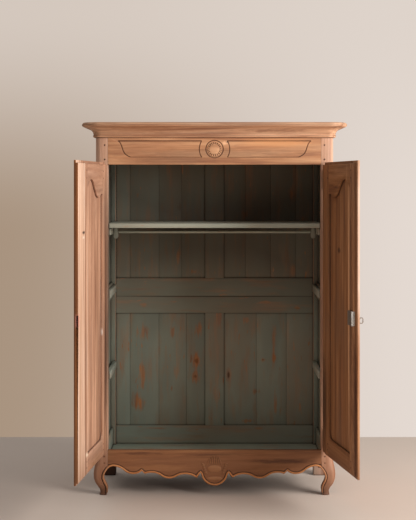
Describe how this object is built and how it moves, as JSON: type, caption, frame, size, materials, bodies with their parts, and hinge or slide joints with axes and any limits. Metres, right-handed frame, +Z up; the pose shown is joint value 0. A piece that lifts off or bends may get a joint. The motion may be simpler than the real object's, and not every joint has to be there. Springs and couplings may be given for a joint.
{
  "type": "armoire",
  "caption": "Provincial wooden armoire with lipped doors on pin hinges standing open, a moulded cornice, scalloped apron, short cabriole front feet, a shelf and a hanging rod.",
  "frame": {"origin": "middle of the ground that the armoire and its open doors cover", "axes": "+Z up, the doors and the front face -Y, +X to the right as seen from the front"},
  "size_m": [1.5426, 1.224, 2.133],
  "materials": {
    "bare_wood": "satin",
    "painted_wood": "matte",
    "iron": "satin",
    "brass": "satin"
  },
  "bodies": {
    "carcass": {"apron_rail": "bare_wood", "back_boards_lower_left": "painted_wood", "back_boards_lower_right": "painted_wood", "back_boards_upper_left": "painted_wood", "back_boards_upper_right": "painted_wood", "back_bottom_rail": "painted_wood", "back_middle_rail_lower": "painted_wood", "back_middle_rail_upper": "painted_wood", "back_muntin_lower": "painted_wood", "back_muntin_upper": "painted_wood", "back_top_rail": "painted_wood", "cornice_front": "bare_wood", "cornice_left": "bare_wood", "cornice_right": "bare_wood", "floor_bearers": "painted_wood", "floor_boards": "painted_wood", "frame_pegs": "bare_wood", "frieze_rail": "bare_wood", "front_left_post": "bare_wood", "front_right_post": "bare_wood", "hanging_rod": "painted_wood", "hinge_pins": "iron", "left_bottom_rail": "bare_wood", "left_hinge_fixed_knuckles": "iron", "left_lower_panel": "bare_wood", "left_middle_rail": "bare_wood", "left_top_rail": "bare_wood", "left_upper_panel": "bare_wood", "rear_left_post": "bare_wood", "rear_right_post": "bare_wood", "right_bottom_rail": "bare_wood", "right_hinge_fixed_knuckles": "iron", "right_lower_panel": "bare_wood", "right_middle_rail": "bare_wood", "right_top_rail": "bare_wood", "right_upper_panel": "bare_wood", "rod_bracket_left": "painted_wood", "rod_bracket_right": "painted_wood", "shelf": "painted_wood", "shelf_cleats": "painted_wood", "top_boards": "bare_wood"},
    "left_door": {"left_door_bottom_rail": "bare_wood", "left_door_centre_post": "bare_wood", "left_door_hinge_stile": "bare_wood", "left_door_meeting_stile": "bare_wood", "left_door_panel": "bare_wood", "left_door_pegs": "bare_wood", "left_door_top_rail": "bare_wood", "left_hinge_door_knuckles": "iron"},
    "right_door": {"escutcheon": "brass", "lock_case": "iron", "right_door_bottom_rail": "bare_wood", "right_door_hinge_stile": "bare_wood", "right_door_meeting_stile": "bare_wood", "right_door_panel": "bare_wood", "right_door_pegs": "bare_wood", "right_door_top_rail": "bare_wood", "right_hinge_door_knuckles": "iron"},
    "key": {"key": "iron"},
    "lock_bolt": {"lock_bolt": "iron"}
  },
  "joints": [
    {"name": "left_door_hinge", "type": "hinge", "parent": "carcass", "child": "left_door", "pos_m": [-0.646, 0.095, 0], "axis": [0, 0, 1], "range_deg": [-78.4, 96.6]},
    {"name": "right_door_hinge", "type": "hinge", "parent": "carcass", "child": "right_door", "pos_m": [0.618, 0.095, 0], "axis": [0, 0, 1], "range_deg": [-101.7, 73.3]},
    {"name": "key_turn", "type": "hinge", "parent": "right_door", "child": "key", "pos_m": [0.72904, -0.41406, 1.066], "axis": [0.9792, 0.2028, 0], "range_deg": [0, 360]},
    {"name": "bolt_throw", "type": "slide", "parent": "right_door", "child": "lock_bolt", "axis": [0.2028, -0.9792, 0], "range_m": [0, 0.012]}
  ],
  "couplings": [
    {"joint": "bolt_throw", "follows": "key_turn", "m_per_rad": 0.0019099}
  ]
}
